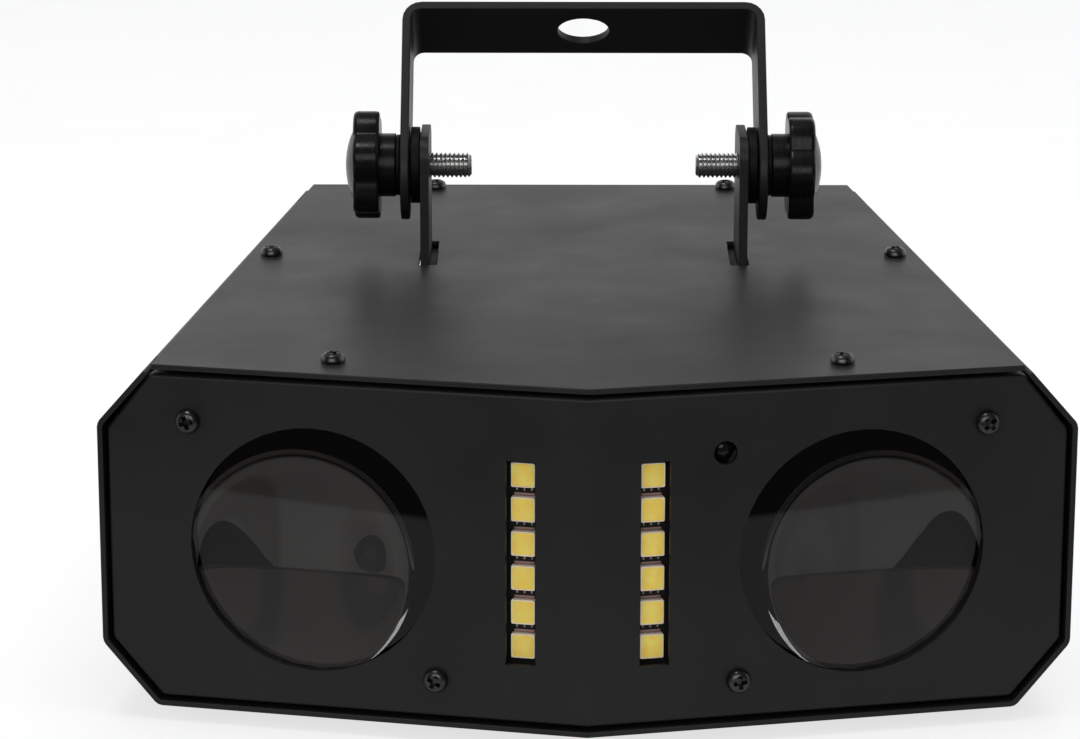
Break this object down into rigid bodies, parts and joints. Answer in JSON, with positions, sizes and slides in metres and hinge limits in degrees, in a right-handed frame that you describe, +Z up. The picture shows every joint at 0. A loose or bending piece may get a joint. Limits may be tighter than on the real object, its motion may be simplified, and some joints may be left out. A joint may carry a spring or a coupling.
{
  "type": "led effect light",
  "caption": "Low sheet-metal effect light with a V front, two round lens windows, two strobe strips and a tilting U bracket clamped by star knobs.",
  "frame": {"origin": "centre of the bounding box's base, on the surface the rubber feet stand on", "axes": "+X to the right seen from the front, +Y from the front to the rear panel, +Z up"},
  "size_m": [0.2038, 0.2068, 0.1342],
  "materials": {
    "housing_paint": "black powder coat with a fine grain",
    "cover_paint": "satin black powder coat",
    "lens_glass": "polished clear glass",
    "black_plastic": "black moulded plastic",
    "knob_plastic": "black moulded plastic, semi-gloss",
    "display_window": "dark red clear window",
    "plated_steel": "zinc plated",
    "black_steel": "black oxide",
    "aluminium_sheet": "plain milled",
    "lamp_board": "solder mask over an aluminium core, with soldered lamps",
    "circuit_board": "green solder mask",
    "rubber": "moulded rubber"
  },
  "bodies": {
    "housing": {"base_tray": "housing_paint", "top_cover": "cover_paint", "front_panel": "housing_paint", "rear_panel": "housing_paint", "lug_left": "housing_paint", "lug_right": "housing_paint", "lens_left": "lens_glass", "lens_right": "lens_glass", "lens_holder_left": "black_plastic", "lens_holder_right": "black_plastic", "lens_ring_left": "black_plastic", "lens_ring_right": "black_plastic", "strobe_board_left": "lamp_board", "strobe_board_right": "lamp_board", "receiver": "circuit_board", "front_screw_left_1": "black_steel", "front_screw_left_2": "black_steel", "front_screw_right_1": "black_steel", "front_screw_right_2": "black_steel", "top_screw_1": "black_steel", "top_screw_2": "black_steel", "top_screw_3": "black_steel", "top_screw_4": "black_steel", "top_screw_5": "black_steel", "top_screw_6": "black_steel", "optics_bracket_left": "aluminium_sheet", "optics_bracket_right": "aluminium_sheet", "ring_board_left": "lamp_board", "ring_board_right": "lamp_board", "motor_left": "plated_steel", "motor_right": "plated_steel", "rubber_foot_1": "rubber", "rubber_foot_2": "rubber", "rubber_foot_3": "rubber", "rubber_foot_4": "rubber", "supply_board": "circuit_board", "control_board": "circuit_board", "display": "display_window", "mains_inlet": "black_plastic", "signal_out_socket": "black_steel", "signal_in_socket": "black_steel", "spacer_left": "black_plastic", "spacer_right": "black_plastic"},
    "bracket": {"tilt_bracket": "housing_paint"},
    "clamp_washer_left": {"washer_left": "black_steel"},
    "clamp_washer_right": {"washer_right": "black_steel"},
    "star_knob_left": {"knob_left": "knob_plastic", "bolt_left": "plated_steel"},
    "star_knob_right": {"knob_right": "knob_plastic", "bolt_right": "plated_steel"},
    "wheel_left": {"pattern_wheel_left": "black_plastic", "motor_shaft_left": "plated_steel"},
    "wheel_right": {"pattern_wheel_right": "black_plastic", "motor_shaft_right": "plated_steel"},
    "button_1": {"menu_button_1": "black_plastic"},
    "button_2": {"menu_button_2": "black_plastic"},
    "button_3": {"menu_button_3": "black_plastic"},
    "button_4": {"menu_button_4": "black_plastic"},
    "dial": {"sensitivity_knob": "black_plastic"}
  },
  "joints": [
    {"name": "bracket_tilt", "type": "hinge", "parent": "housing", "child": "bracket", "pos_m": [0, 0.01914, 0.0984], "axis": [1, 0, 0], "range_deg": [-62, 138]},
    {"name": "knob_left_travel", "type": "slide", "parent": "housing", "child": "clamp_washer_left", "axis": [-1, 0, 0], "range_m": [0, 0.0021]},
    {"name": "knob_left_turn", "type": "hinge", "parent": "clamp_washer_left", "child": "star_knob_left", "pos_m": [-0.05, 0.01914, 0.0984], "axis": [-1, 0, 0], "range_deg": [0, 720]},
    {"name": "knob_right_travel", "type": "slide", "parent": "housing", "child": "clamp_washer_right", "axis": [1, 0, 0], "range_m": [0, 0.0021]},
    {"name": "knob_right_turn", "type": "hinge", "parent": "clamp_washer_right", "child": "star_knob_right", "pos_m": [0.05, 0.01914, 0.0984], "axis": [1, 0, 0], "range_deg": [0, 720]},
    {"name": "wheel_left_spin", "type": "hinge", "parent": "housing", "child": "wheel_left", "pos_m": [-0.05695, -0.09099, 0.0397], "axis": [0.2135, 0.9769, 0], "continuous": true},
    {"name": "wheel_right_spin", "type": "hinge", "parent": "housing", "child": "wheel_right", "pos_m": [0.05695, -0.09099, 0.0397], "axis": [-0.2135, 0.9769, 0], "continuous": true},
    {"name": "button_1_press", "type": "slide", "parent": "housing", "child": "button_1", "axis": [0, -1, 0], "range_m": [0, 0.0008], "stiffness_N_per_m": 300},
    {"name": "button_2_press", "type": "slide", "parent": "housing", "child": "button_2", "axis": [0, -1, 0], "range_m": [0, 0.0008], "stiffness_N_per_m": 300},
    {"name": "button_3_press", "type": "slide", "parent": "housing", "child": "button_3", "axis": [0, -1, 0], "range_m": [0, 0.0008], "stiffness_N_per_m": 300},
    {"name": "button_4_press", "type": "slide", "parent": "housing", "child": "button_4", "axis": [0, -1, 0], "range_m": [0, 0.0008], "stiffness_N_per_m": 300},
    {"name": "sensitivity_turn", "type": "hinge", "parent": "housing", "child": "dial", "pos_m": [0.05, 0.0994, 0.0553], "axis": [0, 1, 0], "range_deg": [-150, 150]}
  ],
  "couplings": [
    {"joint": "knob_left_travel", "follows": "knob_left_turn", "m_per_rad": 0.00015915},
    {"joint": "knob_right_travel", "follows": "knob_right_turn", "m_per_rad": 0.00015915}
  ]
}
